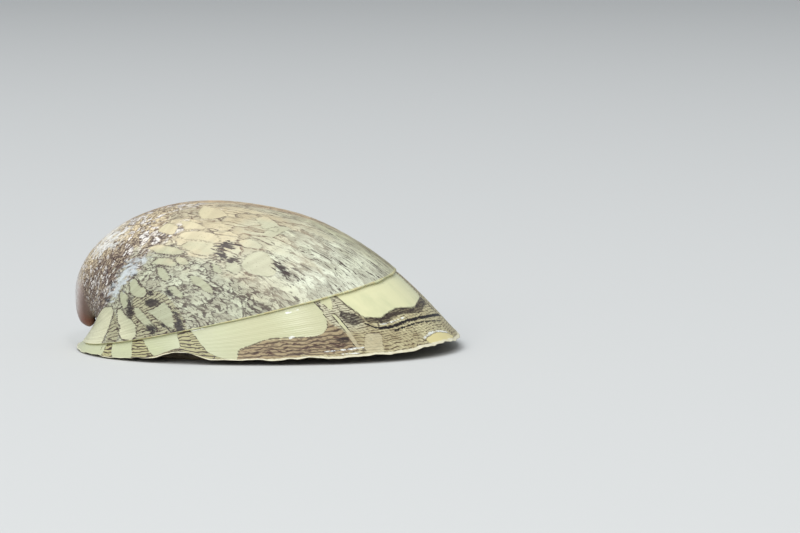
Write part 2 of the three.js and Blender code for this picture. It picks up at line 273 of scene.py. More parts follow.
# Marks of the right flank, each an outline of growth ring and degrees from the front to the right.
# Pale tongues and scales lie where the dark skin was held back, dark wedges where it ran together.
REAR_FLARE = [(7.5, 144), (7.7, 130), (8.35, 124.5), (8.75, 126), (9.4, 134), (10.4, 142), (11, 145),
              (12.3, 147), (12.3, 213), (11, 215), (10.4, 218), (9.4, 226), (8.7, 234), (8.3, 235),
              (7.7, 230), (7.5, 216)]
PALE_TONGUES = [
    # tongues low on the rear of the flank, and one blob farther forward
    [(8.14, 101), (8.16, 96.5), (8.34, 97), (8.69, 101.5), (8.89, 101), (9.13, 104), (9.22, 107),
     (9.14, 109), (8.89, 110), (8.56, 108.5)],
    [(8.06, 109), (8.56, 110), (8.91, 114), (9.17, 119.5), (9.06, 121), (8.63, 118.5), (8.23, 114)],
    [(8.86, 124.5), (8.89, 121), (9.45, 123), (9.87, 122.5), (10.3, 123), (10.86, 126), (11.02, 129),
     (10.84, 133), (10.38, 133), (10.06, 130.5), (9.61, 130)],
    [(9.34, 117), (9.45, 114.5), (10.05, 116), (10.5, 116), (10.86, 116.5), (10.59, 119.5), (10.25, 120),
     (9.84, 120)],
    [(9.81, 114), (9.87, 110), (9.78, 104.5), (10.02, 104.5), (10.37, 106.5), (10.7, 109), (10.89, 110.5),
     (10.74, 112), (10.47, 113), (10.17, 113.5)],
    [(9.88, 67.5), (9.76, 61), (9.78, 57), (9.83, 54.5), (9.93, 54.5), (10.17, 58), (10.34, 62), (10.35, 65),
     (10.25, 67.5), (10.11, 69)],
]
PALE_SCALES = [
    # single scales that grew without a net
    [(8.63, 66), (8.7, 60.5), (8.91, 59), (9.16, 59), (9.35, 63), (9.38, 66), (9.22, 69.5), (8.92, 69)],
    [(8.39, 58), (8.43, 53), (8.71, 51), (8.98, 51.5), (9.2, 56), (9.14, 59.5), (8.86, 58.5), (8.63, 60)],
    [(7.9, 68.5), (8.1, 65.5), (8.58, 67), (8.87, 70), (8.75, 73.5), (8.29, 74)],
    [(8.33, 83.5), (8.39, 77), (8.69, 76), (8.98, 79), (8.98, 82.5), (8.62, 82.5)],
    [(8.38, 31), (8.37, 18), (8.56, 21.5), (8.72, 25), (8.89, 32), (8.75, 38), (8.53, 39)],
    [(8.19, 41.5), (8.43, 42), (8.67, 46.5), (8.86, 49), (8.59, 50), (8.41, 51.5)],
    [(9.57, 43.5), (9.54, 37), (9.68, 30), (9.78, 30.5), (9.74, 37), (9.73, 44)],
    [(9.4, 84), (9.65, 82.5), (10.05, 84.5), (10.25, 87), (10.1, 88.5), (9.7, 88)],
    [(9.35, 95.5), (9.5, 93), (9.95, 96), (10, 98), (9.65, 99)],
    [(8.55, 84), (8.8, 84), (9.25, 90), (9.15, 93.5), (8.8, 90)],
    [(8.7, 74), (9, 73.5), (9.25, 78), (9, 79.5)],
    [(9.45, 72), (9.65, 72), (9.9, 76), (9.7, 77)],
    [(9.25, 29.5), (9.35, 23.5), (9.6, 30.5), (9.7, 38), (9.5, 39)],
    [(9.4, 53.5), (9.5, 49), (9.75, 51), (9.8, 54), (9.6, 56.5)],
    [(9.65, 69), (9.72, 66), (9.95, 68), (10.05, 73.5), (9.8, 73)],
    [(7.85, 52), (7.95, 42), (8.25, 47.5), (8.3, 57.5)],
]
DARK_MARKS = [
    # stars and wedges between the tongues, then single dark clots
    [(8.69, 111), (9.15, 115.5), (9.71, 120), (9.89, 123.5), (9.43, 122), (9, 116.5)],
    [(10.4, 119), (10.52, 116), (10.8, 117), (10.88, 119.5), (10.59, 120)],
    [(10.17, 104), (10.43, 105), (10.76, 107), (11.06, 108), (11, 111), (10.54, 107)],
    [(10.46, 113.5), (10.73, 112), (10.95, 111), (11.01, 111.5), (10.8, 113), (10.52, 114.5)],
    [(9.35, 107.5), (9.63, 105), (9.81, 106.5), (9.74, 111), (9.5, 110.5)],
    [(9.47, 98.5), (9.51, 97), (9.74, 98.5), (9.74, 101)],
    [(7.9, 91.5), (8.08, 91), (8.24, 95), (8.07, 96)],
    [(7.12, 99), (7.46, 101.5), (7.68, 107), (7.43, 106.5)],
    [(7.37, 118.5), (7.79, 119.5), (8, 122.5), (7.61, 123)],
    [(9.02, 102), (9.19, 102), (9.39, 105), (9.22, 105)],
    [(10.15, 58), (10.2, 56.5), (10.4, 57.5), (10.6, 59.5), (10.5, 61.5), (10.35, 61)],
    [(9.2, 61.5), (9.3, 56), (9.5, 56), (9.45, 60), (9.35, 63)],
    [(9.35, 66.5), (9.35, 61.5), (9.5, 63.5), (9.6, 68.5)],
    [(9.65, 67), (9.65, 64), (9.75, 65.5), (9.7, 68.5)],
]
LADDER_ZONES = [
    # where growth threads show between the tongues
    [(8.6, 104), (9.5, 100), (10.2, 103), (11.1, 107), (11.1, 128), (9.6, 124)],
    [(8.71, 125.5), (9.32, 128.5), (10.23, 132), (10.96, 136), (10.96, 143), (9.78, 138)],
]


def mirrored(outlines, seed, ring_jitter=0.12, angle_jitter=5.0):
    """The same kinds of mark on the snail's left flank, each shifted as nature would."""
    draw = random.Random(seed)
    moved = []
    for outline in outlines:
        ring_shift = draw.uniform(-ring_jitter, ring_jitter)
        angle_shift = draw.uniform(-angle_jitter, angle_jitter)
        moved.append([(r + ring_shift, -a - angle_shift) for r, a in outline])
    return moved


def mark_fields(ring, angle, marks):
    """For each kind of mark, the distance in millimetres to its edge, above zero inside it."""
    spread = read_chart(spread_chart, ring, angle)
    per_degree = read_chart(degree_chart, ring, angle)
    fields = {"outline": np.full(len(ring), MARK_REACH)}
    for kind, outlines in marks.items():
        nearest = np.full(len(ring), -MARK_REACH)
        for outline in outlines:
            distance = inside_distance(rounded(outline), ring, angle, spread, per_degree)
            nearest = np.maximum(nearest, distance)
            if kind == "pale":
                fields["outline"] = np.minimum(fields["outline"], np.abs(distance))
        fields[kind] = np.minimum(nearest, MARK_REACH)
    return fields


def growth_fields(ring, angle):
    """The frame that the shell's own pattern grows in, the same on every side of the shell."""
    run = np.interp(ring, CHART_RINGS, flank_run)
    return {
        "flow": np.stack([np.cos(angle), np.sin(angle), run], -1),
        "ring": ring,
        "spread": np.maximum(read_chart(spread_chart, ring, angle), 0.2),
        "flank": off_front(angle),
    }


WORN_WIDTH, WORN_FROM, WORN_TO = 0.9, 62, 132
CROWN_RING, CROWN_WIDTH = 6.5, 1.1
WORN_PATH = [
    # degrees away from the front, ring
    (64, 8.05), (71, 8.05), (81, 7.85), (91, 7.7), (104, 7.75), (120, 7.85), (128, 8.1),
]


def wear_and_sheen_field(ring, angle):
    """How far the horn is rubbed off, as a chalky streak along each flank where it bulges most, together
    with a painted sheen of pale flecks round the crown, strongest on top.
    """
    away = off_front(angle)
    path_degrees, path_rings = np.array(WORN_PATH).T
    off_path = (ring - np.interp(away, path_degrees, path_rings)) / WORN_WIDTH
    ends = np.clip((WORN_TO - away) / 14, 0, 1) * np.clip((away - WORN_FROM) / 16, 0, 1)
    streak = 0.8 * np.exp(-(off_path**2) * 1.6) * ends
    # Painted sheen: pale flecks round the crown of the early whorls, strongest on top
    crown_sheen = 0.8 * np.exp(-(((ring - CROWN_RING) / CROWN_WIDTH) ** 2)) * np.clip((86 - away) / 40, 0.4, 1)
    return np.maximum(streak, crown_sheen)


def row_faces(count, columns, closed_band=False, first=0):
    """Faces between neighbouring rows of points, and from the last to the first in a band."""
    index = first + np.arange(count * columns).reshape(count, columns)
    below = np.roll(index, -1, axis=0)
    faces = np.stack([index, below, np.roll(below, -1, axis=1), np.roll(index, -1, axis=1)], -1)
    return faces[: count if closed_band else count - 1].reshape(-1, 4).tolist()


def turn_out(mesh):
    """Turns the faces of a closed mesh outwards."""
    work = bmesh.new()
    work.from_mesh(mesh)
    bmesh.ops.recalc_face_normals(work, faces=work.faces)
    if work.calc_volume(signed=True) < 0:
        bmesh.ops.reverse_faces(work, faces=work.faces)
    work.to_mesh(mesh)
    work.free()


def shell_mesh(name, rows, closed_band=False):
    """A closed skin in metres over rows of points, which end in a point or run round a band."""
    rows = np.array(rows)
    count, columns = rows.shape[:2]
    faces = row_faces(count, columns, closed_band)
    points = rows.reshape(-1, 3) * MM
    if not closed_band:
        start, end = len(points), len(points) + 1
        points = np.vstack([points, rows[0].mean(0) * MM, rows[-1].mean(0) * MM])
        around = [(k, (k + 1) % columns) for k in range(columns)]
        last_row = start - columns
        faces += [(start, a, b) for a, b in around]
        faces += [(end, last_row + b, last_row + a) for a, b in around]
    points = np.clip(points, *cad_box)
    mesh = bpy.data.meshes.new(name)
    mesh.from_pydata(points.tolist(), [], faces)
    mesh.update()
    turn_out(mesh)
    mesh.shade_smooth()
    return mesh


def set_fields(mesh, fields):
    """Keeps each field on the mesh's points, for the material to read."""
    for name, values in fields.items():
        missing = len(mesh.vertices) - len(values)
        values = np.concatenate([values, np.repeat(values[-1:], missing, axis=0)])
        kind, key = ("FLOAT_VECTOR", "vector") if values.ndim == 2 else ("FLOAT", "value")
        layer = mesh.attributes.new(name, kind, "POINT")
        layer.data.foreach_set(key, values.astype(np.float32).ravel())


def ripple(ring, angle, seed, terms=7):
    """A smooth seeded wave over rings and angles, about -1 to 1, closed round the shell."""
    draw = np.random.default_rng(seed)
    total = np.zeros(np.broadcast(ring, angle).shape)
    for _ in range(terms):
        along, around = draw.uniform(0.6, 3.5), draw.integers(1, 9)
        wave = np.sin(along * ring * 2 + draw.uniform(0, 6.3))
        total = total + wave * np.cos(around * angle + draw.uniform(0, 6.3))
    return total / math.sqrt(terms)


OLD_COLUMNS, OLD_ROWS, OLD_INNER_ROWS = 384, 226, 12
WRINKLE_DEPTH, EATEN_DEPTH = 0.006, 0.06
WRINKLES_FROM, WRINKLES_FULL = 4, 7
EATEN_RING, EATEN_DEGREES = 7.75, 98
EATEN_RING_REACH, EATEN_DEGREE_REACH = 0.42, 24
EDGE_WAVES_FROM, EDGE_WAVE = 10.4, 0.005
old_angles = full_turn(OLD_COLUMNS)
steps = np.linalg.norm(np.diff(chart[:, CHART_TURN // 3], axis=0), axis=1)
travel = np.concatenate([[0], np.cumsum(steps)])
travel = travel / np.interp(BREAK_RING, CHART_RINGS, travel)
even_rings = np.interp(np.linspace(0, 1, OLD_ROWS), travel, CHART_RINGS)
even_rings = np.clip(even_rings, FIRST_RING, BREAK_RING)
ring_grid, angle_grid = np.meshgrid(even_rings, old_angles, indexing="ij")
edge_share = np.clip((ring_grid - EDGE_WAVES_FROM) / (BREAK_RING - EDGE_WAVES_FROM), 0, 1)
ring_grid = ring_grid + edge_share * EDGE_WAVE * ripple(3.0, angle_grid * 3, 4)
# Growth wrinkles and the dull, eaten surface where the flank bulges
wrinkle = WRINKLE_DEPTH * (1 + np.sin(ring_grid * 38 + 2.2 * ripple(ring_grid, angle_grid, 11)))
wrinkle = wrinkle * np.clip((ring_grid - WRINKLES_FROM) / (WRINKLES_FULL - WRINKLES_FROM), 0, 1)
off_ring = (ring_grid - EATEN_RING) / EATEN_RING_REACH
off_place = (np.degrees(angle_grid) + EATEN_DEGREES) / EATEN_DEGREE_REACH
eaten = EATEN_DEPTH * np.exp(-(off_ring**2) - off_place**2)
outer_rows = shell_points(ring_grid, angle_grid, (wrinkle + eaten) / RELIEF_WALL)
inner_steps = np.linspace(0, 1, OLD_INNER_ROWS)[:, None]
inner_rings = ring_grid[-1] + (CAVITY_RING - ring_grid[-1]) * inner_steps
inner_rows = shell_points(inner_rings, old_angles[None, :], 1.0)
cap_rows = [inner_rows[-1] * (1 - k) + inner_rows[-1].mean(0) * k for k in (0.35, 0.7)]
old_mesh = shell_mesh("shell_old", [*outer_rows, *inner_rows, *cap_rows])

cap_rings = np.full(OLD_COLUMNS * len(cap_rows), CAVITY_RING)
flat_rings = np.concatenate([ring_grid.ravel(), inner_rings.ravel(), cap_rings])
flat_angles = np.tile(old_angles, OLD_ROWS + OLD_INNER_ROWS + len(cap_rows))
PALE_MARKS = PALE_TONGUES + PALE_SCALES
old_marks = {
    "pale": [REAR_FLARE] + PALE_MARKS + mirrored(PALE_MARKS, 21),
    "dark": DARK_MARKS + mirrored(DARK_MARKS, 22),
    "ladder": LADDER_ZONES + mirrored(LADDER_ZONES, 23),
}
set_fields(old_mesh, growth_fields(flat_rings, flat_angles))
set_fields(old_mesh, mark_fields(flat_rings, flat_angles, old_marks))
# The field of rubbed horn and of the painted sheen round the crown
set_fields(old_mesh, {"wear_and_sheen": wear_and_sheen_field(flat_rings, flat_angles)})
shell_old = show("shell_old", old_mesh)
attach(shell_old, "root")
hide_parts("shell_apex", "shell_body")


class Tone:
    """A value, place or colour that changes over a surface, as a shader node gives it out."""

    def __init__(self, node, output=0):
        self.tree = node.id_data
        self.socket = node.outputs[output]

    def __add__(self, other):
        return reckon("ADD", self, other)

    def __sub__(self, other):
        return reckon("SUBTRACT", self, other)

    def __rsub__(self, other):
        return reckon("SUBTRACT", other, self)

    def __mul__(self, other):
        return reckon("MULTIPLY", self, other)

    __rmul__ = __mul__

    def __truediv__(self, other):
        return reckon("DIVIDE", self, other)


def feed(value, socket):
    """Links a tone to a socket, or sets the socket to a plain value."""
    if isinstance(value, Tone):
        value.tree.links.new(value.socket, socket)
    else:
        socket.default_value = value


def put(tree, kind, values=None, **settings):
    """Adds a shader node with its settings and its input values."""
    node = tree.nodes.new("ShaderNode" + kind)
    for key, value in settings.items():
        setattr(node, key, value)
    for name, value in (values or {}).items():
        feed(value, node.inputs[name])
    return node


def reckon(operation, *values):
    tree = next(value.tree for value in values if isinstance(value, Tone))
    return Tone(put(tree, "Math", dict(enumerate(values)), operation=operation))


def larger(one, other):
    return reckon("MAXIMUM", one, other)


def rise(value, low, high, start=0.0, end=1.0):
    """A smooth step of the value from low to high."""
    values = {"Value": value, "From Min": low, "From Max": high, "To Min": start, "To Max": end}
    return Tone(put(value.tree, "MapRange", values, interpolation_type="SMOOTHSTEP"))


def fall(value, low, high):
    """A smooth step down from 1 to 0."""
    return rise(value, low, high, 1.0, 0.0)


def lay(amount, under, over):
    """Lays one colour over another."""
    values = {0: amount, 6: under, 7: over}
    return Tone(put(amount.tree, "Mix", values, data_type="RGBA", clamp_factor=True), 2)


def read(tree, *names):
    """Reads fields kept on the mesh as values."""
    return [Tone(put(tree, "Attribute", attribute_name=name), "Fac") for name in names]


def read_place(tree, name):
    """Reads a field kept on the mesh as a place."""
    return Tone(put(tree, "Attribute", attribute_name=name), "Vector")


def stretched(place, size):
    """A place with its third axis scaled, which in the growth frame is the way the shell grew."""
    return Tone(put(place.tree, "VectorMath", {0: place, 1: (1.0, 1.0, size)}, operation="MULTIPLY"))


def cloud(place, scale, detail=2.0, rough=0.5, output="Fac"):
    """Soft noise from 0 to 1."""
    values = {"Vector": place, "Scale": scale, "Detail": detail, "Roughness": rough}
    return Tone(put(place.tree, "TexNoise", values), output)


def bent(place, scale, amount):
    """A place, bent a little so that no pattern runs dead straight."""
    middle, reach = (0.5, 0.5, 0.5), (amount, amount, amount)
    sway = {0: cloud(place, scale, output="Color"), 1: middle}
    sway = Tone(put(place.tree, "VectorMath", sway, operation="SUBTRACT"))
    return Tone(put(place.tree, "VectorMath", {0: sway, 1: reach, 2: place}, operation="MULTIPLY_ADD"))


def coats(colour, *layers):
    """Lays coats of paint over a colour, each given as its amount and its colour."""
    for amount, over in layers:
        colour = lay(amount, colour, over)
    return colour


def tint(red, green, blue):
    """A paint colour given as it looks on a screen, from 0 to 1."""
    return (red**2.2, green**2.2, blue**2.2, 1.0)


def new_material(name):
    """A new material with its tree and its shader."""
    material = bpy.data.materials.new(name)
    material.use_nodes = True
    return material, material.node_tree, material.node_tree.nodes["Principled BSDF"]


def bump(height, strength, depth, shader):
    """Raises the surface a little by a height from 0 to 1."""
    values = {"Strength": strength, "Distance": depth, "Height": height}
    feed(Tone(put(height.tree, "Bump", values)), shader.inputs["Normal"])


def effect(name, inputs, outputs):
    """Starts a node group: its tree, its inputs as tones and its output sockets."""
    tree = bpy.data.node_groups.new(name, "ShaderNodeTree")
    for socket_name, kind in inputs.items():
        tree.interface.new_socket(socket_name, in_out="INPUT", socket_type="NodeSocket" + kind)
    for socket_name in outputs:
        tree.interface.new_socket(socket_name, in_out="OUTPUT", socket_type="NodeSocketFloat")
    entry = tree.nodes.new("NodeGroupInput")
    return tree, [Tone(entry, k) for k in range(len(inputs))], tree.nodes.new("NodeGroupOutput").inputs


def apply_effect(tree, group, **values):
    """Places a node group in a material with its own values. Gives its outputs in order."""
    node = put(tree, "Group", node_tree=group)
    for name, value in values.items():
        feed(value, node.inputs[name])
    return [Tone(node, k) for k in range(len(node.outputs))]


# Scales of the horny skin: cells in the growth frame, each with a seam round it. The front value
# grows towards the end of the scale that grew last, where its seam is broad and dark.
scale_net, (given_flow, given_cells, given_stretch), result = effect(
    "scale_net", {"Flow": "Vector", "Cells": "Float", "Stretch": "Float"}, ["Edge", "Random", "Front"]
)
cell_counts = {"X": given_cells, "Y": given_cells, "Z": given_cells * given_stretch}
cell_counts = Tone(put(scale_net, "CombineXYZ", cell_counts))
cell_place = {0: given_flow, 1: cell_counts}
cell_place = Tone(put(scale_net, "VectorMath", cell_place, operation="MULTIPLY"))
seams = put(scale_net, "TexVoronoi", {"Vector": cell_place, "Scale": 1.0}, feature="DISTANCE_TO_EDGE")
cells = put(scale_net, "TexVoronoi", {"Vector": cell_place, "Scale": 1.0}, feature="F1")
grown = Tone(put(scale_net, "SeparateXYZ", {0: cell_place}), 2)
cell_grown = Tone(put(scale_net, "SeparateXYZ", {0: Tone(cells, "Position")}), 2)
feed(Tone(seams, "Distance"), result["Edge"])
feed(Tone(put(scale_net, "SeparateColor", {0: Tone(cells, "Color")})), result["Random"])
feed(grown - cell_grown, result["Front"])


def swing(phase):
    """How far a steadily growing phase is from the middle of its step, from 0 to 0.5."""
    return reckon("ABSOLUTE", reckon("FRACT", phase) - 0.5)


# Growth threads: fine dark lines along the growth edge, which fork where the shell fans out
growth_threads, (given_spacing, given_wander, given_width), result = effect(
    "growth_threads", {"Spacing": "Float", "Wander": "Float", "Width": "Float"}, ["Line", "Wave"]
)
ring_now, spread = read(growth_threads, "ring", "spread")
octave = reckon("ROUND", reckon("LOGARITHM", spread / given_spacing, 2.0))
drift = (cloud(read_place(growth_threads, "flow"), 9.0) - 0.5) * given_wander
wave = swing(ring_now * reckon("POWER", 2.0, octave) + drift)
feed(fall(wave, given_width, given_width + 0.1), result["Line"])
feed(wave, result["Wave"])


def seam(edge, front, width, soft):
    """The dark seam of each scale, broadest round its growing end."""
    width = width * rise(front, -0.35, 0.3, 0.3, 1.0)
    return fall(edge, width, width + soft)


old_horn, tree, horn_shader = new_material("old_horn")
flow = read_place(tree, "flow")
ring_now, flank, pale, outline_near = read(tree, "ring", "flank", "pale", "outline")
dark, ladder, wear_and_sheen = read(tree, "dark", "ladder", "wear_and_sheen")
flow_bent = bent(flow, 7.0, 0.09)
shade = cloud(flow, 3.2, 4.0, 0.55)
patchy = cloud(flow_bent, 6.0, 3.0, 0.6)
clots = cloud(flow_bent, 33.0, 3.0, 0.65)
fine = cloud(flow_bent, 64.0, 3.0, 0.65)
dark_horn = tint(0.23, 0.165, 0.165)
brown_horn = tint(0.42, 0.31, 0.24)

# Where each kind of pattern lies
ring_bent = (shade - 0.5) * 3.2 + ring_now
top_part = fall((shade - 0.5) * 40.0 + flank, 62.0, 82.0)
front_part = rise(ring_bent, 9.5, 10.4) * fall(flank, 58.0, 78.0)
golden = fall(flank, 38.0, 74.0)
early_part = fall(ring_bent - golden * 0.55, 7.4, 8.1)
back_scales = rise(ring_now, 7.7, 8.3) * top_part * (1.0 - front_part)
apex_part = fall(clots + ring_now, 5.2, 6.0)

# Large plain scales on the back, in a net of middling and small ones
large_edge, large_random, large_front = apply_effect(
    tree, scale_net, Flow=flow_bent, Cells=9.5, Stretch=0.46
)
medium_edge, medium_random, medium_front = apply_effect(
    tree, scale_net, Flow=flow_bent, Cells=17.0, Stretch=0.4
)
small_edge, _, small_front = apply_effect(tree, scale_net, Flow=flow_bent, Cells=38.0, Stretch=0.45)
plain = rise(large_random + back_scales * 0.62, 0.95, 0.96) * rise(large_edge, 0.02, 0.07)
medium_line = seam(medium_edge, medium_front, rise(clots, 0.38, 0.62, -0.05, 0.1), 0.06)
small_line = seam(small_edge, small_front, rise(clots, 0.4, 0.66, -0.12, 0.2), 0.1)
net = larger(medium_line, small_line * 0.85) * rise(patchy, 0.3, 0.55, 0.5, 1.0) * (1.0 - plain)
net = net * (1.0 - front_part * 0.72) * (1.0 - back_scales * 0.15)
large_seam = seam(large_edge, large_front, 0.02, 0.03) * rise(clots, 0.4, 0.56, 0.15, 1.0)
large_seam = large_seam * rise(large_front, -0.3, 0.2, 0.3, 1.0) * (back_scales * 0.8 + 0.2)

# Fine dashes along the growth on the late part, slanting flecks along the early growth lines
strands = cloud(stretched(flow_bent, 0.28), 50.0, 3.0, 0.62)
hairs = cloud(stretched(flow_bent, 0.2), 95.0)
dashes = larger(rise(strands, 0.575, 0.62), rise(hairs, 0.6, 0.64))
dashes = larger(dashes * rise(patchy, 0.38, 0.58, 0.3, 1.0), rise(fine, 0.63, 0.68) * 0.8)
early_edge, early_random, _ = apply_effect(tree, scale_net, Flow=flow_bent, Cells=8.0, Stretch=1.7)
specks = cloud(stretched(flow_bent, 2.0), 17.0, 3.0, 0.6)
early_width = rise(clots, 0.38, 0.65, -0.08, 0.16)
early_line = fall(early_edge, early_width, early_width + 0.12)
dark_specks = larger(rise(specks, 0.54, 0.61), early_line) * early_part * (0.92 - golden * 0.42)
light_specks = rise(early_random * 0.6 + early_edge, 0.5, 0.64) * early_part

# Ground colours: grey green on the flank, orange cream on the back, green cream in front
cream = lay(rise(ring_bent, 8.9, 9.9), tint(0.8, 0.75, 0.615), tint(0.78, 0.77, 0.66))
flank_ground = lay(medium_random, tint(0.68, 0.68, 0.585), tint(0.78, 0.795, 0.69))
top_ground = lay(medium_random, tint(0.74, 0.7, 0.59), tint(0.83, 0.79, 0.66))
front_ground = coats(
    lay(rise(shade, 0.4, 0.65), tint(0.88, 0.89, 0.8), tint(0.83, 0.84, 0.73)),
    (rise(ring_now, 10.4, 10.9, 0.0, 0.5), tint(0.84, 0.85, 0.76)),
    (rise(flank, 6.0, 34.0, 0.75, 0.0), tint(0.72, 0.71, 0.56)),
)
gloom = rise(patchy, 0.4, 0.58) * rise(flank, 40.0, 90.0, 0.1, 0.8)
early_ground = lay(golden, tint(0.74, 0.68, 0.58), tint(0.87, 0.8, 0.65))
# Painted light: an orange brown edge along the top ridge, where the outline of the dome lies seen from the
# side, painted in for the tint the thin horn takes on where it is seen edge-on
painted_ridge_edge = rise(flank, 2.0, 12.0, rise(ring_bent, 9.8, 10.6, 0.5, 0.8), 0.0)
painted_ridge_edge_colour = lay(rise(ring_bent, 9.4, 10.6), tint(0.7, 0.5, 0.28), tint(0.56, 0.52, 0.36))
line_colour = lay(top_part * rise(patchy, 0.42, 0.6, 1.0, 0.3), dark_horn, brown_horn)
base = coats(
    flank_ground,
    (top_part, top_ground),
    (front_part, front_ground),
    (plain * back_scales, cream),
    # Painted shade: the rear of each large and middling scale is darker, so that the scales look as if they
    # overlap
    (rise(large_front, -0.35, 0.25, 0.3, 0.0) * back_scales, tint(0.6, 0.54, 0.44)),
    (rise(medium_front, -0.35, 0.2, 0.4, 0.0) * (1.0 - plain), tint(0.56, 0.54, 0.47)),
    (early_part, lay(gloom, early_ground, tint(0.45, 0.38, 0.35))),
    (light_specks, tint(0.91, 0.89, 0.86)),
    # the painted edge tint along the top ridge
    (painted_ridge_edge * rise(patchy, 0.35, 0.6, 0.4, 1.0), painted_ridge_edge_colour),
    (net * 0.9, line_colour),
    (large_seam * 0.7, line_colour),
    (dashes * (front_part * 0.56 + 0.36), dark_horn),
    (dark_specks, dark_horn),
)

# Marks of the flank: ladders of growth threads, pale tongues with a thin seam, dark clots
thread_line, _ = apply_effect(tree, growth_threads, Spacing=0.24, Wander=1.6, Width=0.08)
ladder_line = thread_line * rise(clots, 0.34, 0.54, 0.45, 1.0)
ladder_colour = lay(ladder_line, tint(0.66, 0.65, 0.53), dark_horn)
ladder_colour = lay(rise(clots, 0.55, 0.63), ladder_colour, dark_horn)
pale_colour = coats(
    lay(rise(flank, 118.0, 134.0), tint(0.67, 0.68, 0.57), tint(0.82, 0.815, 0.69)),
    (top_part, cream),
    (rise(shade, 0.35, 0.7, 0.0, 0.35), tint(0.68, 0.68, 0.55)),
    (rise(fine, 0.62, 0.7, 0.0, 0.5), brown_horn),
)
seam_width = rise(fine, 0.35, 0.65, 0.02, 0.15)
pale_seam = fall(outline_near, seam_width * 0.4, seam_width) * (0.95 - top_part * 0.45)
pale_seam = pale_seam * rise(clots, 0.38, 0.54, 0.8 - top_part * 0.6, 1.0)
frayed = dark + (strands - 0.5) * (top_part * 1.2 + 0.9)
in_dark = rise(frayed, -0.16, 0.1) * rise(small_edge, 0.22, 0.4, 0.96, 0.85 - top_part * 0.4)
base = coats(
    base,
    (rise(ladder + (clots - 0.5) * 0.6, -0.05, 0.03), ladder_colour),
    (rise(pale + (fine - 0.5) * 0.25, -0.02, 0.03), pale_colour),
    (pale_seam, dark_horn),
    (in_dark, lay(top_part, tint(0.15, 0.125, 0.145), tint(0.2, 0.15, 0.155))),
)

# Wear and painted sheen: a chalky patch where the flank bulges, pale flecks round the crown of the early
# whorls that are painted sheen, a rubbed apex that is grey on top and red brown underneath, whose grey top
# is partly painted sheen, and the pale lime of the broken edge
patches = cloud(stretched(flow_bent, 0.6), 12.0, 5.0, 0.65)
# The pale mask of rubbed lime, which also carries the painted sheen round the crown
rubbed_and_sheen_level = 0.86 - wear_and_sheen * 0.62
lime_and_sheen = rise(patches, rubbed_and_sheen_level, rubbed_and_sheen_level + 0.2)
# The apex is pale grey on top and dark red brown underneath. The pale top and its pale flecks are partly
# rubbed horn and partly painted sheen, and the dark underside is partly painted shade.
apex_colour = coats(
    lay(rise(flank, 40.0, 96.0), tint(0.74, 0.68, 0.66), tint(0.42, 0.34, 0.31)),
    (rise(patches, 0.4, 0.56) * fall(flank, 34.0, 66.0), tint(0.8, 0.81, 0.8)),
    (rise(clots, 0.5, 0.66, 0.0, 0.45), tint(0.36, 0.26, 0.24)),
    (rise(ring_now, 2.8, 4.4, 0.8, 0.0), tint(0.46, 0.27, 0.22)),
)
bands = Tone(put(tree, "TexNoise", {"W": ring_now, "Scale": 5.0, "Detail": 3.0}, noise_dimensions="1D"))
base = coats(
    base,
    (lime_and_sheen * 0.85, lay(golden, tint(0.77, 0.8, 0.81), tint(0.86, 0.86, 0.84))),
    (apex_part, apex_colour),
    (rise(bands, 0.3, 0.7, 0.16, 0.0), tint(0.45, 0.4, 0.33)),
    (rise(ring_now, 10.962, 10.985, 0.0, 0.75),
     lay(rise(clots, 0.4, 0.6), tint(0.8, 0.74, 0.5), tint(0.84, 0.85, 0.65))),
)
feed(base, horn_shader.inputs["Base Color"])
feed(rise(clots, 0.3, 0.7, 0.34, 0.5) + lime_and_sheen * 0.3, horn_shader.inputs["Roughness"])
horn_shader.inputs["Specular IOR Level"].default_value = 0.35
_, thread_wave = apply_effect(tree, growth_threads, Spacing=0.16, Wander=1.4, Width=0.2)
bump((thread_wave + clots) * 0.5 - net * 0.35, 0.35, 0.06 * MM, horn_shader)
old_mesh.materials.append(old_horn)

# The new lip: the band of shell that grew after the break, thinner and brighter than the old
# shell. It comes out from under the broken ledge and ends in a thin, flaky, chipped rim of horn,
# which lies on the ground and lifts in a shallow notch on the right.
LIP_START_RING = 10.9
LIP_COLUMNS, LIP_ROWS, LIP_INNER_STEP = 480, 92, 6
LEDGE_DROP, LIP_WRINKLE_DEPTH = 0.18, 0.003
RIM_SHARE_LEFT = 0.3
THINNING_FROM, WAVES_FROM = 0.55, 0.72
MIRRORED_FROM = 55
CHIP, FLAKE, DEEPEST_CHIP = 0.035, 0.008, 0.055
RIM_SWELL, RIM_RUFFLE, HIGHEST_RUFFLE = 0.16, 0.03, 0.3
lip_angles = full_turn(LIP_COLUMNS)
chip = CHIP * np.clip(ripple(1.0, lip_angles * 7, 31) - 0.1, 0, 1)
chip = chip + FLAKE * (1 + ripple(2.0, lip_angles * 23, 32, terms=11))
rim_rings = LAST_RING - np.clip(chip, 0, DEEPEST_CHIP)
lip_share = np.linspace(0, 1, LIP_ROWS)[:, None]
lip_rings = LIP_START_RING + (rim_rings - LIP_START_RING) * lip_share
beyond = np.clip((lip_rings - BREAK_RING) / (LAST_RING - BREAK_RING), -0.1, 1)
ledge = LEDGE_DROP * (1 - beyond) ** 2 / WALL_FRONT
lip_wrinkle = 1 + np.sin(lip_rings * 61 + 2.5 * ripple(lip_rings, lip_angles, 12))
lip_wrinkle = lip_wrinkle * LIP_WRINKLE_DEPTH
lip_outer = shell_points(lip_rings, lip_angles, ledge + lip_wrinkle / RELIEF_WALL)
along_rim = np.clip((lip_share - WAVES_FROM) / (1 - WAVES_FROM), 0, 1)
rim_wave = RIM_SWELL * np.clip(0.5 + 0.5 * ripple(4.0, lip_angles * 5, 51), 0, 1)
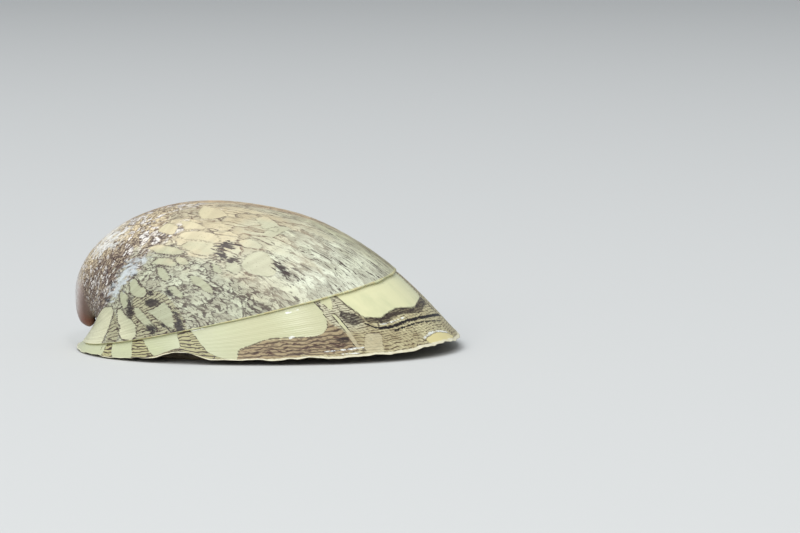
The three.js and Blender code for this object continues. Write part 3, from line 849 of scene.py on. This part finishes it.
rim_wave = rim_wave + RIM_RUFFLE * ripple(1.5, lip_angles * 17, 52)
rim_wave = np.clip(rim_wave, 0, HIGHEST_RUFFLE) * along_rim**2
lip_outer[..., 2] += rim_wave
thinned = np.clip((lip_share - THINNING_FROM) / (1 - THINNING_FROM), 0, 1)
wall_share = 1 - (1 - RIM_SHARE_LEFT) * thinned
inner_order = np.append(np.arange(LIP_ROWS - 1, 0, -LIP_INNER_STEP), 0)
lip_inner = shell_points(lip_rings[inner_order], lip_angles, wall_share[inner_order])
lip_inner[..., 2] += rim_wave[inner_order]
lip_mesh = shell_mesh("shell_new", [*lip_outer, *lip_inner], closed_band=True)


def thread(points, width):
    """The outline of a thin line along growth, so many rings broad."""
    over = [(ring - width / 2, angle) for ring, angle in points]
    return over + [(ring + width / 2, angle) for ring, angle in reversed(points)]


def slant(points, degrees):
    """The outline of a thin line that runs across the growth lines, so many degrees broad."""
    front = [(ring, angle - degrees / 2) for ring, angle in points]
    return front + [(ring, angle + degrees / 2) for ring, angle in reversed(points)]


LIP_MARKS = {
    "pale": [
        REAR_FLARE,
        [(10.8, 140), (10.8, 129), (11.96, 130.5), (12.1, 138.5)],
        [(10.8, 125.5), (10.8, 110.5), (11.29, 112), (11.65, 113), (11.87, 119.5), (11.89, 122.5)],
        [(10.6, 107), (11.62, 105), (11.83, 102.5), (12, 98), (11.62, 95), (11.56, 91), (11.48, 86),
         (11.46, 83), (11.49, 76.5), (11.52, 70), (11.48, 67), (11.41, 64.5), (11.3, 62.5), (11.15, 61.5),
         (10.6, 61.5)],
        [(10.6, 53.5), (11.16, 52.5), (11.27, 51.5), (11.39, 50.5), (11.38, 48), (11.43, 44.5), (11.39, 41),
         (11.36, 35), (11.42, 25), (11.37, 17.5), (11.34, 7), (10.95, 3.5), (10.6, 3)],
        [(10.6, -12), (11.2, -14), (11.36, -21), (11.3, -31), (10.6, -34)],
        [(11.56, 54.5), (11.59, 49), (11.75, 51.5), (11.98, 54), (11.98, 58), (11.78, 58.5)],
        slant([(11.24, 59.2), (11.45, 59.4), (11.67, 59.8), (11.83, 59.8)], 1.5),
        [(11, 60), (11, 54.6), (11.22, 58.6)],
        [(11.82, 35), (11.77, 30), (11.76, 23.5), (11.82, 16), (11.9, 13), (11.95, 22.5), (11.95, 33.5)],
    ],
    "dark": [
        [(11.25, 56), (11.3, 52), (11.41, 51), (11.45, 56), (11.39, 57)],
        [(11.27, 57.8), (11.21, 55.8), (11.3, 54.5), (11.42, 57.5)],
        [(11.6, 65), (11.56, 61), (11.62, 60.5), (11.68, 63)],
        thread([(11.4, 50.5), (11.455, 44.5), (11.415, 41), (11.395, 35), (11.445, 25), (11.405, 17.5),
                (11.38, 7)], 0.08),
        slant([(11, 1.5), (11.2, 2), (11.38, 4.5), (11.5, 6.5), (11.6, 5)], 1.4),
        slant([(10.95, 53.4), (11.2, 52.3), (11.39, 50)], 0.6),
    ],
    "line": [
        thread([(11.43, 52), (11.53, 49), (11.545, 43.5), (11.525, 37), (11.53, 28), (11.57, 10),
                (11.6, 3)], 0.035),
        thread([(11.6, 44), (11.58, 36), (11.59, 27), (11.64, 12)], 0.02),
        thread([(11.34, -4), (11.4, -14), (11.47, -24), (11.42, -33), (11.48, -44)], 0.02),
        thread([(11.7, -20), (11.66, -36), (11.74, -52), (11.7, -66)], 0.025),
        slant([(11.03, 60.9), (11.24, 60.1), (11.45, 60.3), (11.67, 60.7), (11.83, 60.7)], 0.35),
        slant([(11.24, 58.3), (11.45, 58.5), (11.67, 58.9), (11.83, 58.9)], 0.3),
        slant([(11.03, 60.8), (11.25, 62.4), (11.39, 64)], 0.4),
        slant([(11.03, 54.6), (11.22, 56), (11.3, 57.6)], 0.4),
    ],
    "ladder": [
        [(10.6, 144), (10.6, 139), (12.2, 137.5), (12.2, 144)],
        [(10.6, 130), (10.6, 123), (12.2, 121), (12.2, 131)],
        [(10.6, 112), (10.6, 106), (11.61, 105), (11.88, 102), (12.2, 98), (12.2, 120), (11.87, 118),
         (11.64, 112.5)],
    ],
    "streak": [
        [(12, 99), (11.62, 95), (11.49, 86), (11.5, 76.5), (11.49, 67), (11.36, 63.5), (11.45, 60.5),
         (11.8, 58.5), (11.86, 66), (11.88, 80)],
    ],
    # thin white painted highlights along the blocks
    "painted_glint": [
        thread([(11.8, 35), (11.75, 30), (11.745, 23.5), (11.8, 16)], 0.03),
        thread([(11.03, 106), (11.04, 101)], 0.03),
        thread([(11.79, 71), (11.78, 64.5), (11.77, 58)], 0.02),
        thread([(11.87, 67), (11.885, 61)], 0.015),
        thread([(11.49, 47), (11.49, 40), (11.475, 34)], 0.015),
        thread([(11.08, 73), (11.07, 68)], 0.015),
        thread([(11.49, 78), (11.47, 76)], 0.03),
    ],
}
lip_flat_rings = np.concatenate([lip_rings, lip_rings[inner_order]]).ravel()
lip_flat_angles = np.tile(lip_angles, LIP_ROWS + len(inner_order))
# The left flank repeats the marks of the right one, and the front has its own
both_sides = {
    kind: outlines + mirrored([o for o in outlines if o[0][1] > MIRRORED_FROM], 40 + k, 0.02, 3.0)
    for k, (kind, outlines) in enumerate(LIP_MARKS.items())
}
set_fields(lip_mesh, growth_fields(lip_flat_rings, lip_flat_angles))
set_fields(lip_mesh, mark_fields(lip_flat_rings, lip_flat_angles, both_sides))
shell_new = show("shell_new", lip_mesh)
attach(shell_new, "root")
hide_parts("shell_lip")

new_horn, tree, lip_shader = new_material("new_horn")
flow = bent(read_place(tree, "flow"), 9.0, 0.05)
ring_now, flank, pale, outline_near = read(tree, "ring", "flank", "pale", "outline")
dark, ladder, streak, painted_glint, line = read(tree, "dark", "ladder", "streak", "painted_glint", "line")
shade = cloud(flow, 5.0, 4.0, 0.55)
clots = cloud(flow, 40.0, 3.0, 0.65)
fine = cloud(flow, 70.0, 3.0, 0.65)
along_clots = cloud(stretched(flow, 3.5), 26.0, 3.0, 0.6)
cross_lines = cloud(stretched(flow, 0.35), 85.0, 2.0, 0.55)
ragged = (clots - 0.5) * 0.35
strokes = fall(swing(flank * 0.62 + ring_now * 7.0 + shade * 5.0), 0.12, 0.24)
thread_line, _ = apply_effect(tree, growth_threads, Spacing=0.26, Wander=2.2, Width=0.12)
broad_line, _ = apply_effect(tree, growth_threads, Spacing=0.34, Wander=2.4, Width=0.12)

# The brown ground between the blocks, with its threads, strokes and streaks
gap_part = rise(flank, 50.0, 54.0) * fall(flank, 61.0, 64.0) * fall(ring_now, 11.4, 11.6)
in_streak = rise(streak + (along_clots - 0.5) * 0.8, -0.06, 0.06)
streak_ground = rise(along_clots - streak * 0.12, 0.28, 0.52)
streak_colour = lay(streak_ground, tint(0.32, 0.235, 0.2), tint(0.64, 0.57, 0.44))
streak_colour = lay(broad_line * 0.7, streak_colour, tint(0.2, 0.14, 0.13))
ladder_dark = tint(0.22, 0.16, 0.15)
ladder_colour = lay(thread_line * 0.95, tint(0.66, 0.64, 0.48), ladder_dark)
ladder_colour = lay(rise(clots, 0.56, 0.66), ladder_colour, ladder_dark)
ground = coats(
    lay(rise(shade, 0.35, 0.65), tint(0.66, 0.61, 0.47), tint(0.8, 0.77, 0.61)),
    (rise(along_clots, 0.52, 0.66, 0.0, 0.7), tint(0.52, 0.46, 0.34)),
    (gap_part * 0.8, tint(0.78, 0.77, 0.66)),
    (thread_line * rise(along_clots, 0.42, 0.56, 0.1, 0.95), tint(0.3, 0.23, 0.18)),
    (strokes * rise(along_clots, 0.44, 0.6, 0.38, 0.0), tint(0.34, 0.265, 0.2)),
    (rise(cross_lines, 0.6, 0.68) * 0.45, tint(0.33, 0.26, 0.19)),
    (rise(clots, 0.62, 0.7, 0.0, 0.8), tint(0.24, 0.18, 0.16)),
    (in_streak, streak_colour),
    (rise(ladder, -0.05, 0.03), ladder_colour),
)

# The long pale blocks, the dark threads that cross them, thin white painted highlights along them, and the
# pale rim
late = rise(flank, 44.0, 47.0) * fall(flank, 60.0, 62.0) * rise(ring_now, 11.44, 11.54)
crescent = rise(ring_now, 11.66, 11.72) * fall(flank, 38.0, 42.0)
block_colour = coats(
    tint(0.86, 0.85, 0.68),
    # Painted shade: the blocks are darker along the flank and darker again towards the rear, away from the
    # front
    (rise(flank, 50.0, 62.0), tint(0.76, 0.755, 0.61)),
    (rise(flank, 84.0, 110.0), tint(0.71, 0.72, 0.59)),
    (rise(shade, 0.4, 0.75, 0.0, 0.6), tint(0.74, 0.76, 0.6)),
    (late, lay(clots, tint(0.7, 0.65, 0.52), tint(0.83, 0.8, 0.67))),
    (crescent, tint(0.85, 0.8, 0.58)),
)
in_pale = rise(pale, -0.015, 0.02) * (1.0 - late * 0.35)
seam_width = rise(clots, 0.35, 0.65, 0.03, 0.1)
frayed = dark + (along_clots - 0.5) * 0.42
in_dark = rise(frayed, -0.07, 0.04) * rise(along_clots, 0.44, 0.58, 1.0, 0.6)
# Thin white painted highlights along the blocks, broken up a little
in_painted_glint = rise(painted_glint + ragged, -0.03, 0.03) * rise(fine, 0.38, 0.55, 0.35, 0.9)
base = coats(
    ground,
    (in_pale, block_colour),
    (fall(outline_near, seam_width * 0.4, seam_width) * 0.75, tint(0.25, 0.18, 0.15)),
    (in_dark * 0.95, tint(0.17, 0.12, 0.12)),
    (rise(line + (fine - 0.5) * 0.35, -0.02, 0.03), tint(0.11, 0.085, 0.09)),
    # the thin white painted highlights
    (in_painted_glint, tint(0.93, 0.94, 0.92)),
    (rise(ring_now + ragged * 0.15, 11.9, 11.93) * 0.9,
     lay(clots, tint(0.8, 0.76, 0.6), tint(0.95, 0.94, 0.86))),
)
feed(base, lip_shader.inputs["Base Color"])
feed(rise(in_pale, 0.0, 1.0, 0.48, 0.27), lip_shader.inputs["Roughness"])
lip_shader.inputs["Specular IOR Level"].default_value = 0.4
_, thread_wave = apply_effect(tree, growth_threads, Spacing=0.14, Wander=1.4, Width=0.2)
bump((thread_wave + clots) * 0.5, 0.3, 0.05 * MM, lip_shader)
lip_mesh.materials.append(new_horn)

# The soft body: one unbroken skin over the hump that fills the shell, the mantle skirt inside the
# rim, the broad foot with its flat creeping sole, the flat snout with its lips, two feelers and
# two short eyestalks. Live muscle under a thin wet skin.
SKIN_CELL = 0.16
rough_points, rough_faces = [], []


def spline(rows, share):
    """A smooth curve through rows of numbers, read at shares from 0 to 1."""
    rows = np.asarray(rows, float)
    place = share * (len(rows) - 1)
    row = min(int(place), len(rows) - 2)
    ends = np.vstack([2 * rows[0] - rows[1], rows, 2 * rows[-1] - rows[-2]])
    return through(*ends[row : row + 4], place - row)


def add_rows(rows, closed_band=False):
    """Adds a closed rough shape in millimetres, which the skin is then drawn over."""
    rows = np.array(rows)
    count, columns = rows.shape[:2]
    first = len(rough_points)
    rough_points.extend(rows.reshape(-1, 3).tolist())
    # Each rough face goes along its columns first, then down its rows
    faces = row_faces(count, columns, closed_band, first)
    rough_faces.extend((a, b, c, d) for a, d, c, b in faces)
    if not closed_band:
        rough_faces.append(list(range(first, first + columns))[::-1])
        rough_faces.append(list(range(len(rough_points) - columns, len(rough_points))))


def add_limb(route, radii, count=26, columns=20):
    """Adds a round limb along a route of points, with a radius at each."""
    turn = full_turn(columns, 0)[:, None]
    rows = []
    for share in np.linspace(0, 1, count):
        ahead = spline(route, min(share + 0.02, 1)) - spline(route, max(share - 0.02, 0))
        ahead = ahead / np.linalg.norm(ahead)
        side = np.cross(ahead, (0, 0, 1))
        side = side / np.linalg.norm(side)
        over = np.cross(side, ahead)
        radius = spline([[r] for r in radii], share)[0]
        rows.append(spline(route, share) + radius * (side * np.cos(turn) + over * np.sin(turn)))
    add_rows(rows)


# The foot: an oval with a flat sole and a thin, gently frilled edge, thinner under the head
FOOT_FRONT, FOOT_REAR, FOOT_HALF_WIDTH, FOOT_HEIGHT = 9.2, -11.7, 8.1, 1.9
FOOT_THINS_FROM, FOOT_FRILL = 6.3, 0.006
FOOT_PROFILE = [
    # share of the width, share of the height
    (0.3, 0), (0.96, 0), (0.99, 0.06), (1, 0.25), (0.985, 0.5), (0.95, 0.76), (0.9, 0.95),
    (0.8, 1.02), (0.7, 1.5), (0.3, 1.6),
]
foot_turn = full_turn(96, 0)
foot_c, foot_s = oval(foot_turn)
foot_rows = []
for out, up in FOOT_PROFILE:
    x = (FOOT_FRONT + FOOT_REAR) / 2 + (FOOT_FRONT - FOOT_REAR) / 2 * out * foot_c
    thin = 0.5 * np.clip((x - FOOT_THINS_FROM) / (FOOT_FRONT - FOOT_THINS_FROM), 0, 1) * (up <= 1.02)
    frill = 1 + FOOT_FRILL * np.sin(foot_turn * 23 + 2 * np.sin(foot_turn * 5)) * (0.1 < up < 0.9)
    y = FOOT_HALF_WIDTH * out * foot_s
    foot_rows.append(np.stack([x * frill, y * frill, FOOT_HEIGHT * up * (1 - thin)], -1))
add_rows(foot_rows)

# The hump inside the shell. In front its floor climbs, to leave room for the head.
HUMP_FIRST_RING, HUMP_LAST_RING = 6.3, 11.5
HUMP_FLOOR, HUMP_INSET = 2.0, 1.25
HEAD_ROOM_START, HEAD_ROOM_TOP = 6.6, 4.2
hump_turn = full_turn(120)
hump_rows = []
for ring in np.linspace(HUMP_FIRST_RING, HUMP_LAST_RING, 30):
    row = shell_points(ring, hump_turn, HUMP_INSET)
    lowest = np.clip(HUMP_FLOOR + row[:, 0] - HEAD_ROOM_START, HUMP_FLOOR, HEAD_ROOM_TOP)
    too_low = row[:, 2] < lowest
    if hump_rows:
        row[too_low] = hump_rows[-1][too_low]
    hump_rows.append(row)
add_rows(hump_rows)

# The mantle: a skirt of flesh round the inside of the rim, with a scalloped edge
SCALLOP, SCALLOPS_FROM = 0.03, 11.7
MANTLE_PROFILE = [
    # ring, inset from the shell's outer face in walls
    (10.6, 1.3), (11.1, 1.3), (11.5, 1.28), (11.78, 1.28), (11.86, 1.5), (11.84, 2.0),
    (11.74, 2.3), (11.4, 2.35), (11.0, 2.4), (10.6, 2.4),
]
mantle_turn = full_turn(240)
scallop = SCALLOP * np.sin(mantle_turn * 61 + 3 * np.sin(mantle_turn * 7))
add_rows(
    [shell_points(ring + scallop * (ring > SCALLOPS_FROM), mantle_turn, inset)
     for ring, inset in MANTLE_PROFILE],
    closed_band=True,
)

# The head: a broad flat snout with a groove along its middle, and two lips round the mouth
HEAD_ROWS = [
    # x, middle height, half height, half width
    (5.4, 3.1, 1.1, 2.7), (6.9, 3.2, 1.0, 2.8), (8.2, 3.1, 0.98, 2.95), (9.3, 2.55, 0.98, 3.3),
    (10.3, 1.75, 1.08, 3.6), (11.2, 1.15, 0.86, 3.4), (11.9, 0.88, 0.55, 2.6), (12.2, 0.8, 0.3, 1.9),
]
head_c, head_s = oval(full_turn(48, 0))
head_rows = []
for share in np.linspace(0, 1, 30):
    x, middle, tall, wide = spline(HEAD_ROWS, share)
    groove = 1 - 0.05 * np.exp(-((head_c / 0.18) ** 2)) * (head_s > 0) * np.clip((x - 9) / 2, 0, 1)
    head_rows.append(np.stack([x + 0 * head_c, wide * head_c, middle + tall * head_s * groove], -1))
add_rows(head_rows)

MOUTH = np.array([11.0, 0.0, 0.6])
LIP_TILT, LIP_REACH, LIP_THICKNESS = 0.35, 0.7, 0.26
lip_turn = full_turn(36, 0)
tilt_c, tilt_s = math.cos(LIP_TILT), math.sin(LIP_TILT)
lip_rows = []
for t in full_turn(12, 0):
    reach = LIP_REACH + LIP_THICKNESS * math.cos(t)
    x, y = 0.8 * reach * np.cos(lip_turn), 1.15 * reach * np.sin(lip_turn)
    z = -LIP_THICKNESS * math.sin(t)
    lip_rows.append(MOUTH + np.stack([x * tilt_c + z * tilt_s, y, z * tilt_c - x * tilt_s], -1))
add_rows(lip_rows, closed_band=True)

# The feelers, the left one stretched out and the right one folded back, and the eyestalks
FEELER_LEFT = [(8.9, 3.0, 1.9), (9.9, 3.95, 1.5), (10.8, 5.0, 1.0), (12.0, 6.4, 0.56), (12.8, 7.4, 0.47),
               (13.7, 8.5, 0.4)]
FEELER_RIGHT = [(9.0, -3.0, 1.9), (9.9, -3.95, 1.5), (10.15, -4.7, 1.1), (9.8, -5.4, 0.88),
                (9.1, -5.9, 0.78), (8.1, -6.3, 0.7)]
FEELER_RADII = [0.5, 0.42, 0.36, 0.3, 0.26, 0.17]
add_limb(FEELER_LEFT, FEELER_RADII)
add_limb(FEELER_RIGHT, FEELER_RADII)
STALK = np.array([(7.9, 2.6, 2.9), (8.2, 3.32, 3.0), (8.35, 3.75, 3.2), (8.47, 4.2, 3.33)])
for side in (1, -1):
    add_limb(STALK * (1, side, 1), [0.42, 0.38, 0.35, 0.36], count=12)

# The skin itself, drawn over all the rough shapes at once and eased, with its sole on the floor
SOLE_REACH = 0.09
rough_mesh = bpy.data.meshes.new("flesh_rough")
rough_mesh.from_pydata(rough_points, [], rough_faces)
turn_out(rough_mesh)
rough_object = show("flesh_rough", rough_mesh)
draw_over = rough_object.modifiers.new("skin", "REMESH")
draw_over.mode = "VOXEL"
draw_over.voxel_size = SKIN_CELL
ease = rough_object.modifiers.new("ease", "SMOOTH")
ease.factor = 0.5
ease.iterations = 5
drawn = rough_object.evaluated_get(bpy.context.evaluated_depsgraph_get())
skin_mesh = bpy.data.meshes.new_from_object(drawn)
skin_mesh.name = "flesh_skin"
bpy.data.objects.remove(rough_object)
skin_points = np.empty(len(skin_mesh.vertices) * 3, np.float32)
skin_mesh.vertices.foreach_get("co", skin_points)
skin_points = skin_points.reshape(-1, 3).astype(float)
skin_points[skin_points[:, 2] < SOLE_REACH, 2] = 0.0
skin_points = np.clip(skin_points * MM, *cad_box)
skin_mesh.vertices.foreach_set("co", skin_points.astype(np.float32).ravel())
skin_mesh.update()
skin_mesh.shade_smooth()
reach, _, height = skin_points.T / MM
set_fields(skin_mesh, {"spot": skin_points / MM, "height": height, "reach": reach})
flesh_skin = show("flesh_skin", skin_mesh)
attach(flesh_skin, "root")
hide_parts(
    "visceral_hump", "foot", "head", "mantle_front", "mantle_left", "mantle_rear",
    "mantle_right", "tentacle_left", "tentacle_right", "eyestalk_left", "eyestalk_right",
)

wet_flesh, tree, flesh_shader = new_material("wet_flesh")
spot = read_place(tree, "spot")
height_now, reach_now = read(tree, "height", "reach")
mottle = cloud(spot, 1.5, 4.0, 0.6)
grain = cloud(spot, 5.5, 3.0, 0.6)
folds = cloud(stretched(spot, 4.0), 1.8, 3.0, 0.6)
sole_colour = lay(rise(mottle, 0.3, 0.7), tint(0.74, 0.68, 0.56), tint(0.6, 0.54, 0.45))
body_colour = coats(
    lay(rise(mottle, 0.38, 0.62), tint(0.25, 0.22, 0.2), tint(0.52, 0.46, 0.38)),
    (rise(grain, 0.56, 0.68, 0.0, 0.8), tint(0.72, 0.66, 0.52)),
    (rise(folds, 0.52, 0.62, 0.0, 0.55), tint(0.16, 0.135, 0.13)),
    # Painted shade: the front of the body, which lies under the raised front rim, is darker
    (rise(reach_now, 8.6, 10.2, 0.0, 0.6), tint(0.17, 0.15, 0.15)),
    (fall(height_now, 0.05, 0.45), sole_colour),
)
feed(body_colour, flesh_shader.inputs["Base Color"])
feed(rise(grain, 0.3, 0.7, 0.22, 0.4), flesh_shader.inputs["Roughness"])
bump(grain * 0.6 + folds * 0.8, 0.5, 0.12 * MM, flesh_shader)
skin_mesh.materials.append(wet_flesh)

# The eyes: two small black beads under a clear wet skin, each set in the tip of its stalk at the
# root of a feeler, where it looks up and outwards.
EYE_RADIUS = 0.33
EYE_PLACE = (8.5, 4.447, 3.36)
dark_bead, tree, bead_shader = new_material("dark_bead")
bead_place = Tone(put(tree, "TexCoord"), "Object")
bead_colour = lay(cloud(bead_place, 4000.0, 3.0), tint(0.05, 0.045, 0.05), tint(0.14, 0.1, 0.09))
feed(bead_colour, bead_shader.inputs["Base Color"])
bead_shader.inputs["Roughness"].default_value = 0.1
for side_name, side in (("left", 1), ("right", -1)):
    x, y, z = EYE_PLACE
    eye_mesh = bpy.data.meshes.new("bead_" + side_name)
    work = bmesh.new()
    bmesh.ops.create_uvsphere(
        work, u_segments=40, v_segments=24, radius=EYE_RADIUS * MM,
        matrix=Matrix.Translation(Vector((x, y * side, z)) * MM),
    )
    work.to_mesh(eye_mesh)
    work.free()
    eye_mesh.shade_smooth()
    eye_mesh.materials.append(dark_bead)
    bead = show("bead_" + side_name, eye_mesh)
    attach(bead, "root")
    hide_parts("eye_" + side_name)
